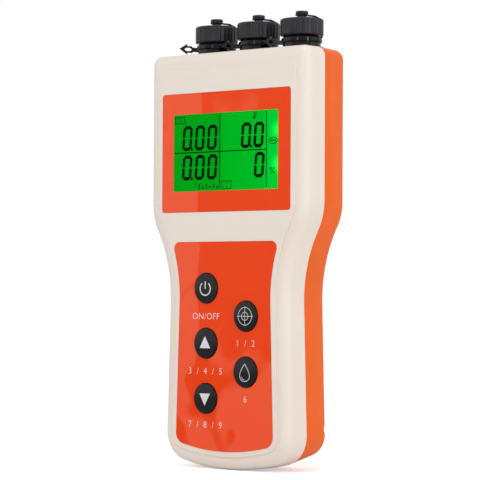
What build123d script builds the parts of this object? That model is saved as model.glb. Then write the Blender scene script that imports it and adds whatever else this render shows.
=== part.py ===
from build123d import *
import math
import os

# Handheld meter for water quality, standing on its lower edge.
# X runs to the viewer's right, the face looks along -Y and Z is up, in millimetres.
# A depth is measured from the raised panel towards the back.

# Body outline, seen from the front
body_top = 177.7
head_side = 14.4
shoulder_slope = 28.334
waist_z = 86.6
grip_side = 10.45
grip_flare = 2.6
bottom_arc_radius = 109.0
head_corner = 4.3
corner_bite = 0.05
shoulder_radius = 25.0
waist_radius = 60.0
slope_use = 0.98
bottom_corner = 12.5

# Body section, with the root that a joined form has inside its carrier
# and the overrun of a cut past its piece
panel_raise = 0.5
parting_depth = 12.9
body_depth = 32.0
wall = 2.4
front_round = 4.0
back_round = 7.5
side_taper = 10.9
seam_lip = 1.0
seam_lip_height = 1.4
gasket_height = 0.8
slack = 0.1
root = 0.5
overrun = 1.0

# Raised panel and the two printed overlays
panel_margin = 5.45
panel_top_margin = 6.8
panel_corner = 2.0
panel_edge = 0.3
overlay_thickness = 0.5
overlay_recess = 0.45
display_overlay_side = 6.55
display_overlay_end = 8.95
display_drop = 42.9
display_overlay_corner = 1.3
keypad_overlay_margin = 7.75
keypad_overlay_rise = 9.9
keypad_overlay_corner = 2.8

# Display stack behind the upper overlay
view_width = 57.9
view_height = 33.1
view_drop = 0.05
view_corner = 0.4
window_margin = 1.85
window_thickness = 0.75
glass_margin = 0.85
glass_plate = 1.1
glass_ledge = 2.15
backlight_thickness = 3.4
holder_rim = 3.0
strip_width = 1.6
opening_slack = 0.3
holder_corner = 1.0
strip_margin = 1.0
lamp_width = 2.0
lamp_height = 20.0

# Keys
key_diameter = 12.75
key_raise = 0.8
key_gap = 0.3
key_travel = 0.6
key_pitch = 23.42
key_drop = 19.7
key_left_x = -10.0
key_right_x = 12.0
key_wall = 1.2
key_flange = 1.0
key_flange_thickness = 0.6
key_stem_radius = 1.6
key_crown = 0.25
key_edge = 0.5
switch_size = 6.0
switch_plunger_radius = 1.74
switch_plunger_proud = 0.65
plunger_clearance = 0.06

# Main board
board_depth = 7.1
board_thickness = 1.6
board_side = 4.05
board_grip_margin = 7.35
board_drop = 9.7
board_bottom = 24.0
board_step_rise = 3.0
board_post_radius = 2.4
board_screw_radius = 0.95
board_screw_head = 2.1
board_screw_inset = 3.8
board_screw_drop = 16.0
board_screw_clearance = 0.3
board_screw_height = 1.5
screw_tip_gap = 0.5
driver_share = 0.35
grip_rib = 0.8
grip_rib_margin = 0.8

# Larger parts on the back of the board
chip_size = 12.0
chip_thickness = 1.5
chip_drop = 36.0
header_width = 9.0
header_height = 6.0
header_thickness = 1.6
header_drop = 18.0
relay_width = 5.0
relay_height = 11.0
relay_thickness = 3.4
buzzer_radius = 5.0
buzzer_thickness = 4.5
low_row_x = 14.0
low_row_drop = 52.0

# Case screws
case_post_radius = 3.2
case_column_radius = 4.2
case_screw_radius = 1.45
case_screw_head = 2.8
case_screw_head_height = 2.0
counterbore_clearance = 0.4
counterbore_depth = 19.0
case_screw_head_margin = 6.85
case_screw_grip_margin = 4.15
case_screw_drop = 9.4
case_screw_rise = 8.3
case_screw_bottom_z = 17.3
thread_clearance = 0.05
case_screw_clearance = 0.25
case_screw_floor = 1.5
back_rib = 1.4
back_rib_height = 4.0
back_rib_drop = 10.0

# Battery bay and its sliding door
cell_diameter = 10.5
cell_length = 43.5
cell_tip = 1.0
cell_tip_radius = 1.9
cell_pitch = 10.9
cell_count = 4
bay_bottom = 20.0
bay_wall = 1.6
spring_length = 4.2
spring_leaf = 0.3
spring_pad = 2.0
spring_side = 1.0
contact_thickness = 0.4
contact_width = 7.0
door_side = 1.1
door_top = 80.0
door_thickness = 1.9
door_lip = 1.2
door_lip_thickness = 0.8
door_gap = 0.3
door_ridge_count = 6
door_ridge_pitch = 2.4
door_ridge_width = 1.2
door_ridge_depth = 0.5
door_ridge_half = 11.0
door_ridge_margin = 6.0
pad_thickness = 1.8

# Probe sockets on the top wall
socket_back_gap = 10.0
socket_side = 19.55
socket_count = 3
flange_rim = 1.3
flange_thickness = 1.1
flange_gasket = 0.6
neck_radius = 8.0
neck_height = 9.2
neck_wall = 1.7
neck_floor = 1.7
stem_radius = 5.8
stem_length = 14.3
stem_wall = 1.2
stem_clearance = 0.2
neck_chamfer = 0.4
gasket_proud = 0.1
nut_wall = 1.5
nut_height = 3.0
insert_disc = 2.0
insert_ledge = 0.4
sleeve_radius = 0.9
sleeve_bore = 0.5
sleeve_circle = 2.7
sleeve_count = 4
sleeve_tail = 3.0
sleeve_reach = 6.0

# Screw caps, their swivel knobs and tethers
cap_wall = 1.02
cap_bottom_gap = 3.75
cap_top_wall = 1.25
cap_clearance = 0.08
cap_round = 0.8
flute_count = 24
flute_radius = 1.1
flute_depth = 0.42
cap_seal = 0.7
cap_seal_inset = 0.2
cap_seal_gap = 0.8
knob_radius = 2.65
knob_head = 2.3
knob_neck_radius = 1.85
knob_neck = 1.55
knob_stem_radius = 1.2
knob_foot_radius = 2.4
knob_foot = 0.54
knob_chamfer = 0.4
knob_clearance = 0.06
band_height = 1.8
band_thickness = 0.9
band_rise = 0.2
strap_width = 2.2
strap_thickness = 0.8
strap_angle = 72.0
strap_clearance = 0.5
strap_bend = 1.8
tab_angle = 205.0
tab_length = 8.4
tab_half_height = 2.3
tab_thickness = 1.0
tab_head = 3.4
tab_eye_half = 1.5
tab_eye_length = 3.2
tab_eye_width = 1.5
tab_neck_half = 0.95
tab_eye_lead = 2.0
tab_slope = 0.5
tab_rise = 0.5
eye_thickness = 1.2
eye_rim = 1.4

# Worked out from the sizes above
front_y = -(body_depth - key_raise) / 2
bay_half = cell_count * cell_pitch / 2 + slack
head_half_width = view_width / 2 + head_side
waist_half_width = bay_half + grip_side
shoulder_z = waist_z + (head_half_width - waist_half_width) / math.tan(math.radians(shoulder_slope))
display_overlay_width = view_width + 2 * display_overlay_side
display_overlay_height = view_height + 2 * display_overlay_end
display_overlay_z = body_top - display_drop
view_z = display_overlay_z - view_drop
keypad_overlay_top = waist_z + keypad_overlay_rise
key_top_z = keypad_overlay_top - key_drop
board_head_half = view_width / 2 + board_side
board_grip_half = waist_half_width - board_grip_margin
board_top = body_top - board_drop
board_step_z = shoulder_z + board_step_rise
chip_z = board_top - chip_drop
header_z = board_top - header_drop
low_row_z = board_top - low_row_drop
case_screw_head_x = head_half_width - case_screw_head_margin
case_screw_grip_x = waist_half_width - case_screw_grip_margin
case_screw_top_z = body_top - case_screw_drop
case_screw_shoulder_z = shoulder_z + case_screw_rise
counterbore_radius = case_screw_head + counterbore_clearance
door_half_width = bay_half + door_side
inner_depth = panel_raise + wall
parting_inner = parting_depth - seam_lip_height - gasket_height
back_inner = body_depth - wall
board_back = board_depth + board_thickness
window_depth = overlay_recess + window_thickness
glass_depth = window_depth + 0.05
glass_width = view_width + 2 * glass_margin
glass_height = view_height + 2 * glass_margin
switch_depth = inner_depth + key_travel + key_flange_thickness + slack
plunger_depth = switch_depth - switch_plunger_proud
bay_top = bay_bottom + 2 * contact_thickness + cell_length + cell_tip + spring_length
door_inner = body_depth - door_thickness
recess_floor = door_inner - slack
bay_floor = recess_floor - cell_pitch
cell_depth = bay_floor + cell_pitch / 2
socket_depth = body_depth - socket_back_gap
socket_pitch = head_half_width - socket_side
flange_radius = neck_radius + flange_rim
neck_bore = neck_radius - neck_wall
insert_seat = neck_bore - insert_ledge
stem_bore = stem_radius - stem_wall
nut_width = 2 * (stem_radius + nut_wall)
cap_radius = neck_radius + cap_clearance + cap_wall
flange_bottom = body_top + flange_gasket
flange_top = flange_bottom + flange_thickness
neck_top = flange_top + neck_height
cap_bottom = flange_top + cap_bottom_gap
cap_ceiling = neck_top + cap_seal + knob_clearance
cap_top = cap_ceiling + cap_top_wall
band_bottom = flange_top + band_rise
board_screw_top = board_top - board_screw_inset
board_screw_low = board_bottom + board_screw_inset


def slab(drawing, near, far):
    """A flat drawing in X and Z, carried from one depth to another."""
    sheet = Plane.XZ.offset(-(front_y + near)) * drawing
    return extrude(sheet, amount=near - far)


def rod(x, z, radius, near, far):
    """A round bar along the depth."""
    return slab(Pos(x, z) * Circle(radius), near, far)


def box(half_width, low, high, near, far):
    """A block centred on X = 0."""
    middle = Pos(0, (low + high) / 2)
    return slab(middle * Rectangle(2 * half_width, high - low), near, far)


def upright(x, radius, low, high):
    """A round bar along Z on a probe socket's axis."""
    foot = Pos(x, front_y + socket_depth, low)
    return foot * extrude(Circle(radius), amount=high - low)


def corners_at(sheet, x, z):
    """The outline's corners at one height, on both sides."""
    return [v for v in sheet.vertices() if abs(abs(v.X) - x) < 0.05 and abs(v.Y - z) < 0.05]


def grip_half_width(z):
    """Half the width of the grip, which widens downwards from the waist."""
    return waist_half_width + grip_flare * (waist_z - z) / waist_z


def grip_foot():
    """Where the grip's side meets the arc of the lower edge."""
    z = 0.0
    for _ in range(30):
        x = grip_half_width(z)
        z = bottom_arc_radius - math.sqrt(bottom_arc_radius ** 2 - x ** 2)
    return x, z


def bend_share():
    """How far the S-curve's two bends shrink where the slope between them is short."""
    turn = math.radians(shoulder_slope)
    slope = (head_half_width - waist_half_width) / math.sin(turn)
    waist_turn = turn + math.atan(grip_flare / waist_z)
    taken = shoulder_radius * math.tan(turn / 2) + waist_radius * math.tan(waist_turn / 2)
    return min(1.0, slope_use * slope / taken)


def body_outline(top=body_top, corner=head_corner):
    """The front view: a wide head, an S-curve on each side and a flared grip."""
    share = bend_share()
    foot_x, foot_z = grip_foot()
    right = [(foot_x, foot_z), (waist_half_width, waist_z), (head_half_width, shoulder_z)]
    right.append((head_half_width, top))
    left = [(-x, z) for x, z in reversed(right)]
    sides = Polyline(*right, *left)
    sole = ThreePointArc(left[-1], (0, 0), right[0])
    sheet = make_face([*sides.edges(), sole])
    sheet = fillet(corners_at(sheet, head_half_width, shoulder_z), share * shoulder_radius)
    sheet = fillet(corners_at(sheet, waist_half_width, waist_z), share * waist_radius)
    sheet = fillet(corners_at(sheet, foot_x, foot_z), bottom_corner)
    if corner:
        sheet = fillet(corners_at(sheet, head_half_width, top), corner)
    return sheet


def inset(sheet, distance):
    """The same outline, further in."""
    return offset(sheet, amount=-distance, kind=Kind.INTERSECTION)


def below(sheet, z):
    """The part of a drawing under one height."""
    return sheet - Pos(0, z + body_top / 2) * Rectangle(3 * head_half_width, body_top)


def back_block(margin, depth, rounding, corner):
    """The rear half as a solid: tapered sides, rounded back edges, a square top."""
    spare = back_round + root
    sheet = body_outline(body_top + spare, 0)
    if margin:
        sheet = inset(sheet, margin)
    start = Plane((0, front_y + parting_depth, 0), x_dir=(-1, 0, 0), z_dir=(0, 1, 0))
    block = extrude(start * sheet, amount=depth, taper=side_taper)
    back = block.faces().sort_by(Axis.Y)[-1]
    block = fillet([e for e in back.edges() if e.center().Z < body_top], rounding)
    half = head_half_width - margin
    high = body_top - margin
    above = Pos(0, high + spare) * Rectangle(2 * half + 2 * spare, 2 * spare)
    block -= slab(above, parting_depth - overrun, parting_depth + depth + overrun)
    return block - [corner_wedge(side, half, high, corner, depth) for side in (-1, 1)]


def corner_wedge(side, half, high, radius, depth):
    """What rounds off an upper corner of the rear half, leaning in with its tapered side."""
    lean = math.tan(math.radians(side_taper))
    width = radius + back_round
    x = half - radius + corner_bite + overrun * lean
    z = high - radius + corner_bite
    sheet = Pos(side * (x + width / 2), z + width / 2) * Rectangle(width, width)
    sheet -= Pos(side * x, z) * Circle(radius)
    start = Plane.XZ.offset(-(front_y + parting_depth - overrun)) * sheet
    return extrude(start, amount=depth + 2 * overrun, dir=(-side * lean, 1, 0))


def case_screw_places():
    """Where the six case screws stand, in X and Z."""
    upper = [(case_screw_head_x, z) for z in (case_screw_top_z, case_screw_shoulder_z)]
    right = [*upper, (case_screw_grip_x, case_screw_bottom_z)]
    return [(side * x, z) for side in (-1, 1) for x, z in right]


def board_screw_places():
    """Where the board is screwed down, in X and Z."""
    head = board_head_half - board_screw_inset
    grip = board_grip_half - board_screw_inset
    right = [(head, board_screw_top), (grip, board_step_z - board_screw_drop), (grip, board_screw_low)]
    return [(side * x, z) for side in (-1, 1) for x, z in right]


def key_places():
    """The keys' centres in X and Z: three on the left, two half a step lower on the right."""
    left = [(key_left_x, key_top_z - i * key_pitch) for i in range(3)]
    right = [(key_right_x, key_top_z - (i + 0.5) * key_pitch) for i in range(2)]
    names = ["power", "up", "down", "target", "drop"]
    return dict(zip(names, left + right))


def socket_places():
    """The X of each probe socket."""
    middle = (socket_count - 1) / 2
    names = ["left", "middle", "right"]
    return dict(zip(names, [(i - middle) * socket_pitch for i in range(socket_count)]))


def raised_panel():
    """The flat panel that stands a little proud of the front, inside its rim."""
    sheet = below(inset(body_outline(), panel_margin), body_top - panel_top_margin)
    tops = sheet.vertices().group_by(Axis.Y)[-1]
    return fillet(tops, panel_corner)


def display_sheet(grow=0.0):
    """The upper overlay's outline."""
    wide = display_overlay_width + 2 * grow
    high = display_overlay_height + 2 * grow
    return Pos(0, display_overlay_z) * RectangleRounded(wide, high, display_overlay_corner + grow)


def keypad_sheet(grow=0.0):
    """The lower overlay's outline, which keeps its distance from the body's side."""
    sheet = below(inset(body_outline(), keypad_overlay_margin - grow), keypad_overlay_top + grow)
    tops = sheet.vertices().group_by(Axis.Y)[-1]
    return fillet(tops, keypad_overlay_corner + grow)


def view_sheet(margin=0.0, corner=view_corner):
    """A rectangle round the part of the display that shows."""
    wide = view_width + 2 * margin
    high = view_height + 2 * margin
    return Pos(0, view_z) * RectangleRounded(wide, high, corner)


def front_shell():
    """The pale front half: rounded rim, raised panel, recesses, openings and posts."""
    body = slab(body_outline(), panel_raise, parting_depth)
    face = body.faces().sort_by(Axis.Y)[0]
    body = fillet(face.edges(), front_round)
    hollow = slab(inset(body_outline(), wall), inner_depth, parting_depth + overrun)
    hollow = fillet(hollow.faces().sort_by(Axis.Y)[0].edges(), front_round - wall)
    body -= hollow
    rebate = inset(body_outline(), wall - seam_lip - slack)
    body -= slab(rebate, parting_inner, parting_depth + overrun)
    panel = slab(raised_panel(), 0, panel_raise + root)
    body += fillet(panel.faces().sort_by(Axis.Y)[0].edges(), panel_edge)
    for x, z in case_screw_places():
        body += rod(x, z, case_post_radius, inner_depth - root, parting_depth)
    for x, z in board_screw_places():
        body += rod(x, z, board_post_radius, inner_depth - root, board_depth)
    for rib in grip_ribs():
        body += rib
    body -= slab(display_sheet(slack), -overrun, overlay_recess)
    body -= slab(keypad_sheet(slack), -overrun, overlay_recess)
    body -= slab(view_sheet(window_margin + slack), -overrun, window_depth)
    body -= slab(view_sheet(glass_margin + opening_slack), -overrun, inner_depth + root)
    for x, z in key_places().values():
        body -= rod(x, z, key_diameter / 2 + key_gap, -overrun, inner_depth + root)
    hole = case_screw_radius + thread_clearance
    for x, z in case_screw_places():
        body -= rod(x, z, hole, inner_depth + case_screw_floor, parting_depth + overrun)
    hole = board_screw_radius + thread_clearance
    for x, z in board_screw_places():
        body -= rod(x, z, hole, inner_depth, board_depth + overrun)
    return body - socket_holes()


def socket_holes():
    """The round holes through the top wall, for the sockets' stems."""
    hole = stem_radius + stem_clearance
    low = body_top - wall - overrun
    return [upright(x, hole, low, body_top + overrun) for x in socket_places().values()]


def grip_ribs():
    """Low stiffening ribs on the inside of the grip, cut away round the keys."""
    ribs = []
    clear = key_diameter / 2 + key_flange + grip_rib_margin
    high = (inner_depth + board_depth) / 2
    for z in (key_top_z - 0.75 * key_pitch, key_top_z - 1.75 * key_pitch):
        bar = box(board_grip_half, z - grip_rib / 2, z + grip_rib / 2, inner_depth - root, high)
        for x, centre in key_places().values():
            bar -= rod(x, centre, clear, inner_depth, board_depth)
        ribs.append(bar)
    return ribs


def rear_shell():
    """The orange back half: tapered shell, screw columns, battery bay and door track."""
    outer = back_block(0, body_depth - parting_depth, back_round, head_corner)
    cavity = back_block(wall, back_inner - parting_depth, back_round - wall, head_corner - wall)
    body = outer - cavity
    extra = box(bay_half + bay_wall, bay_bottom - bay_wall, bay_top + bay_wall,
                bay_floor - bay_wall, back_inner + root)
    pad_half = door_half_width + door_lip + door_gap + wall
    pad_top = door_top + door_gap + wall
    extra += box(pad_half, -overrun, pad_top, recess_floor - pad_thickness, body_depth)
    for x, z in case_screw_places():
        extra += rod(x, z, case_column_radius, parting_depth, body_depth)
    for rib in back_ribs():
        extra += rib
    body += extra & outer
    lip = slab(inset(body_outline(), wall - seam_lip) - inset(body_outline(), wall),
               parting_depth - seam_lip_height, parting_depth)
    body += lip
    body -= box(bay_half, bay_bottom, bay_top, bay_floor, body_depth + overrun)
    body -= door_track()
    hole = case_screw_radius + case_screw_clearance
    for x, z in case_screw_places():
        body -= rod(x, z, counterbore_radius, counterbore_depth, body_depth + overrun)
        body -= rod(x, z, hole, parting_depth - overrun, counterbore_depth + overrun)
    return body - socket_holes()


def back_ribs():
    """Two cross ribs inside the head of the back half."""
    low = case_screw_shoulder_z - back_rib_drop
    high = (case_screw_shoulder_z + case_screw_top_z) / 2
    near = back_inner - back_rib_height
    half = back_rib / 2
    return [box(head_half_width, z - half, z + half, near, back_inner + root) for z in (low, high)]


def door_track():
    """The recess that the battery door slides in, with an undercut on both sides."""
    wide = door_half_width + door_gap
    high = door_top + door_gap
    track = box(wide, -overrun, high, recess_floor, body_depth + overrun)
    lip = door_half_width + door_lip + door_gap
    return track + box(lip, -overrun, high, recess_floor, door_inner + door_lip_thickness + slack)


def case_gasket():
    """The soft ring in the seam between the two halves."""
    ring = inset(body_outline(), wall - seam_lip) - inset(body_outline(), wall - slack)
    return slab(ring, parting_inner, parting_inner + gasket_height)


def display_overlay():
    """The glossy printed frame round the display."""
    sheet = display_sheet() - view_sheet()
    return slab(sheet, overlay_recess - overlay_thickness, overlay_recess)


def keypad_overlay():
    """The glossy printed sheet round the keys."""
    sheet = keypad_sheet()
    for x, z in key_places().values():
        sheet -= Pos(x, z) * Circle(key_diameter / 2 + key_gap)
    return slab(sheet, overlay_recess - overlay_thickness, overlay_recess)


def display_window():
    """The clear pane on its ledge behind the upper overlay."""
    return slab(view_sheet(window_margin), overlay_recess, window_depth)


def display_glass():
    """The two bonded plates of the display, with a contact ledge above and below."""
    middle = glass_depth + glass_plate
    front = slab(view_sheet(glass_margin), glass_depth, middle)
    low = view_z - glass_height / 2 + glass_ledge
    high = view_z + glass_height / 2 - glass_ledge
    return front + box(glass_width / 2, low, high, middle, middle + glass_plate)


def display_backlight():
    """The light guide behind the display, with its lamp bar on the right."""
    near = glass_depth + 2 * glass_plate
    low = view_z - glass_height / 2 + glass_ledge
    high = view_z + glass_height / 2 - glass_ledge
    guide = box(glass_width / 2, low, high, near, near + backlight_thickness)
    lamp = Pos((glass_width - lamp_width) / 2, view_z) * Rectangle(lamp_width, lamp_height)
    return guide + slab(lamp, near, board_depth)


def display_holder():
    """The frame that holds the display against the front shell."""
    margin = glass_margin + opening_slack
    ring = view_sheet(margin + holder_rim, holder_corner) - view_sheet(margin)
    for x, z in case_screw_places():
        ring -= Pos(x, z) * Circle(case_column_radius + opening_slack)
    return slab(ring, inner_depth, board_depth)


def contact_strips():
    """The two rubber strips that join the display's ledges to the board."""
    near = glass_depth + glass_plate
    strips = []
    for side in (-1, 1):
        z = view_z + side * (glass_height / 2 - glass_ledge / 2)
        strip = Pos(0, z) * Rectangle(view_width - 2 * strip_margin, strip_width)
        strips.append(slab(strip, near, board_depth))
    return strips


def main_board():
    """The circuit board: wide behind the display, narrow in the grip."""
    body = box(board_head_half, board_step_z, board_top, board_depth, board_back)
    body += box(board_grip_half, board_bottom, board_step_z, board_depth, board_back)
    notch = case_column_radius + opening_slack
    for x, z in case_screw_places():
        body -= rod(x, z, notch, board_depth - overrun, board_back + overrun)
    hole = board_screw_radius + board_screw_clearance
    for x, z in board_screw_places():
        body -= rod(x, z, hole, board_depth - overrun, board_back + overrun)
    return body


def board_block(x, z, wide, high, thickness):
    """One square-cornered part on the back of the board."""
    return slab(Pos(x, z) * Rectangle(wide, high), board_back, board_back + thickness)


def board_parts():
    """The larger parts on the board: a chip, a header for each socket, a relay and a buzzer."""
    solids = [board_block(0, chip_z, chip_size, chip_size, chip_thickness)]
    for x in socket_places().values():
        solids.append(board_block(x, header_z, header_width, header_height, header_thickness))
    solids.append(board_block(-low_row_x, low_row_z, relay_width, relay_height, relay_thickness))
    solids.append(rod(low_row_x, low_row_z, buzzer_radius, board_back, board_back + buzzer_thickness))
    return solids


def screw(x, z, shank, head, near, seat, head_height):
    """A pan-head screw along the depth, with its driver recess."""
    body = rod(x, z, shank, near, seat) + rod(x, z, head, seat, seat + head_height)
    arm = driver_share * head
    cross = Rectangle(head, arm) + Rectangle(arm, head)
    return body - slab(Pos(x, z) * cross, seat + head_height / 2, seat + head_height + overrun)


def board_screws():
    """The screws that hold the board to its posts."""
    near = inner_depth + screw_tip_gap
    sizes = (board_screw_radius, board_screw_head, near, board_back, board_screw_height)
    return [screw(x, z, *sizes) for x, z in board_screw_places()]


def case_screws():
    """The long screws that pull the two halves together."""
    near = inner_depth + case_screw_floor + screw_tip_gap
    sizes = (case_screw_radius, case_screw_head, near, counterbore_depth, case_screw_head_height)
    return [screw(x, z, *sizes) for x, z in case_screw_places()]


def key_switch(x, z):
    """The square housing of one key's switch, open for its plunger."""
    body = slab(Pos(x, z) * Rectangle(switch_size, switch_size), switch_depth, board_depth)
    hole = switch_plunger_radius + plunger_clearance
    floor = plunger_depth + switch_plunger_proud + 2 * key_travel
    return body - rod(x, z, hole, switch_depth - overrun, floor)


def switch_plunger(x, z):
    """The round plunger that one key pushes in."""
    return rod(x, z, switch_plunger_radius, plunger_depth, switch_depth + key_travel - slack)


def key_cap(x, z):
    """One round key: crowned face, hollow skirt, retaining flange and stem."""
    radius = key_diameter / 2
    front = -key_raise
    back = inner_depth + slack
    rim = back + key_flange_thickness
    brow = (radius - key_edge, front + key_crown)
    cheek = (radius, front + key_crown + key_edge)
    bulge = key_edge * (1 - math.sqrt(0.5))
    crown = ThreePointArc((0, front), (brow[0] / 2, front + key_crown / 4), brow)
    edge = ThreePointArc(brow, (radius - bulge, brow[1] + bulge), cheek)
    flange = radius + key_flange
    inside = front + key_crown + key_wall
    skirt = Polyline(cheek, (radius, back), (flange, back), (flange, rim),
                     (radius - key_wall, rim), (radius - key_wall, inside), (key_stem_radius, inside),
                     (key_stem_radius, plunger_depth), (0, plunger_depth), (0, front))
    profile = make_face([crown, edge, *skirt.edges()])
    solid = revolve(profile, Axis.Y)
    return Pos(x, front_y, z) * solid


def cell(x, up):
    """One dry cell, with its tip up or down."""
    low = bay_bottom + contact_thickness + (spring_length if up else cell_tip)
    body = Pos(x, front_y + cell_depth, low) * extrude(Circle(cell_diameter / 2), amount=cell_length)
    tip = low + cell_length if up else low - cell_tip
    return body + Pos(x, front_y + cell_depth, tip) * extrude(Circle(cell_tip_radius), amount=cell_tip)


def cell_places():
    """Each cell's X and whether its tip is up."""
    middle = (cell_count - 1) / 2
    return [((i - middle) * cell_pitch, i % 2 == 0) for i in range(cell_count)]


def battery_plates():
    """The flat contacts at both ends of the battery bay."""
    plates = []
    for x, _ in cell_places():
        for low in (bay_bottom, bay_top - contact_thickness):
            middle = Pos(x, low + contact_thickness / 2)
            plate = middle * Rectangle(contact_width, contact_thickness)
            plates.append(slab(plate, cell_depth - contact_width / 2, cell_depth + contact_width / 2))
    return plates


def leaf_spring(x, up):
    """The bent leaf that presses on one cell's flat end: foot, slanting arm and pad."""
    seat = bay_bottom + contact_thickness if up else bay_top - contact_thickness
    rise = 1 if up else -1
    press = seat + rise * spring_length
    depth = front_y + cell_depth
    near = depth - contact_width / 2
    far = depth + contact_width / 2
    leaf = rise * spring_leaf
    arm = spring_leaf * spring_length / contact_width
    line = [(near, seat), (far, seat), (far, seat + leaf), (near + spring_pad, seat + leaf)]
    line += [(depth + arm, press - leaf), (depth + spring_pad, press - leaf)]
    line += [(depth + spring_pad, press), (depth - spring_leaf, press)]
    line.append((near, seat + leaf + rise * arm))
    sheet = make_face(Polyline(*line, close=True).edges())
    half = contact_width / 2 - spring_side
    side = Plane((x - half, 0, 0), x_dir=(0, 1, 0), z_dir=(1, 0, 0))
    return extrude(side * sheet, amount=2 * half)


def battery_door():
    """The sliding door: plate flush with the back, side lips and a ribbed thumb grip."""
    outer = back_block(0, body_depth - parting_depth, back_round, head_corner)
    plate = box(door_half_width, -overrun, door_top, door_inner, body_depth + overrun)
    lip_half = door_half_width + door_lip
    plate += box(lip_half, -overrun, door_top, door_inner, door_inner + door_lip_thickness)
    door = plate & outer
    half = door_ridge_width / 2
    for i in range(door_ridge_count):
        z = door_top - door_ridge_margin - i * door_ridge_pitch
        floor = body_depth - door_ridge_depth
        door -= box(door_ridge_half, z - half, z + half, floor, body_depth + overrun)
    return door


def flange_gasket_ring(x):
    """The flat seal under one socket's flange."""
    ring = upright(x, flange_radius + gasket_proud, body_top, flange_bottom)
    return ring - upright(x, stem_radius + stem_clearance, body_top - overrun, flange_bottom + overrun)


def receptacle(x):
    """One probe socket: flange, threaded neck and a narrower stem through the wall."""
    body = upright(x, flange_radius, flange_bottom, flange_top)
    body += upright(x, neck_radius, flange_top, neck_top)
    body += upright(x, stem_radius, flange_bottom - stem_length, flange_bottom)
    body = chamfer(body.edges().filter_by(GeomType.CIRCLE).group_by(Axis.Z)[-1], neck_chamfer)
    floor = flange_bottom + neck_floor
    body -= upright(x, neck_bore, floor + insert_disc, neck_top + overrun)
    body -= upright(x, insert_seat, floor, neck_top)
    return body - upright(x, stem_bore, flange_bottom - stem_length - overrun, neck_top)


def contact_insert(x):
    """The insulator in one socket, bored for its contact sleeves."""
    floor = flange_bottom + neck_floor
    body = upright(x, insert_seat - slack, floor, floor + insert_disc)
    body += upright(x, stem_bore - slack, flange_bottom - stem_length, floor)
    start = flange_bottom - stem_length - overrun
    for dx, dy in sleeve_places():
        body -= Pos(dx, dy, 0) * upright(x, sleeve_radius, start, neck_top)
    return body


def sleeve_places():
    """The contact sleeves' places round a socket's axis."""
    turns = [math.radians(45 + 360 * i / sleeve_count) for i in range(sleeve_count)]
    return [(sleeve_circle * math.cos(t), sleeve_circle * math.sin(t)) for t in turns]


def contact_sleeves(x):
    """The brass sleeves of one socket, open at the top."""
    low = flange_bottom - stem_length - sleeve_tail
    high = flange_bottom + neck_floor + insert_disc
    solids = []
    for dx, dy in sleeve_places():
        sleeve = upright(x, sleeve_radius, low, high)
        sleeve -= upright(x, sleeve_bore, high - sleeve_reach, high + overrun)
        solids.append(Pos(dx, dy, 0) * sleeve)
    return solids


def receptacle_nut(x):
    """The hexagonal nut that holds one socket from inside."""
    sheet = RegularPolygon(nut_width / 2, 6, major_radius=False)
    high = body_top - wall
    low = high - nut_height
    nut = Pos(x, front_y + socket_depth, low) * extrude(sheet, amount=nut_height)
    return nut - upright(x, stem_radius + thread_clearance, low - overrun, high + overrun)


def screw_cap(x):
    """One screw cap: fluted skirt with rounded edges, bored for the neck and the knob."""
    body = upright(x, cap_radius, cap_bottom, cap_top)
    rims = body.edges().filter_by(GeomType.CIRCLE).group_by(Axis.Z)
    body = fillet(rims[-1], cap_round)
    body = fillet(body.edges().filter_by(GeomType.CIRCLE).group_by(Axis.Z)[0], cap_round / 2)
    body -= upright(x, neck_radius + cap_clearance, cap_bottom - overrun, cap_ceiling)
    body -= upright(x, knob_stem_radius + knob_clearance, cap_ceiling - overrun, cap_top + overrun)
    reach = cap_radius + flute_radius - flute_depth
    for i in range(flute_count):
        turn = 2 * math.pi * (i + 0.5) / flute_count
        flute = upright(x, flute_radius, cap_bottom - overrun, cap_top + overrun)
        body -= Pos(reach * math.cos(turn), reach * math.sin(turn), 0) * flute
    return body


def cap_seal_ring(x):
    """The soft ring inside one cap, which presses on the neck's rim."""
    low = neck_top + knob_clearance
    ring = upright(x, neck_radius - cap_seal_inset, low, cap_ceiling)
    hole = knob_foot_radius + cap_seal_gap
    return ring - upright(x, hole, low - overrun, cap_ceiling + overrun)


def cap_knob(x):
    """The swivel knob: bevelled head, neck for the tether, stem through the cap and a foot."""
    neck = cap_top + knob_clearance
    head = neck + knob_neck
    body = upright(x, knob_radius, head, head + knob_head)
    rims = body.edges().filter_by(GeomType.CIRCLE).group_by(Axis.Z)
    body = chamfer(rims[-1], knob_chamfer)
    body += upright(x, knob_neck_radius, neck, head)
    foot = cap_ceiling - knob_clearance
    body += upright(x, knob_stem_radius, foot - knob_foot, neck)
    return body + upright(x, knob_foot_radius, foot - knob_foot, foot)


def strap_route():
    """The strap's corners in its own upright plane: distance from the axis and height."""
    outside = cap_radius + strap_clearance + strap_thickness / 2
    over = cap_top + knob_clearance + slack + eye_thickness / 2
    start = (knob_neck_radius + eye_rim / 2, over)
    seat = (neck_radius + band_thickness / 2, band_bottom + band_height / 2)
    return [start, (outside, over), (outside, cap_bottom), seat]


def tether(x):
    """One soft tether: band round the neck, pull tab with an eye, strap and top ring."""
    inner = neck_radius + slack
    outer = inner + band_thickness
    band_top = band_bottom + band_height
    body = upright(x, outer, band_bottom, band_top)
    body -= upright(x, inner, band_bottom - overrun, band_top + overrun)
    ring = cap_top + knob_clearance + slack
    eye_radius = knob_neck_radius + knob_clearance
    eye = upright(x, eye_radius + eye_rim, ring, ring + eye_thickness)
    body += eye - upright(x, eye_radius, ring - overrun, ring + eye_thickness + overrun)
    path = FilletPolyline(*strap_route(), radius=strap_bend)
    edge = offset(path, amount=strap_thickness / 2, side=Side.BOTH)
    sheet = standing_plane(x, strap_angle) * make_face(edge.edges())
    body += extrude(sheet, amount=strap_width / 2, both=True)
    return body + pull_tab(x, (band_bottom + band_top) / 2 + tab_rise, outer - root)


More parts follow.
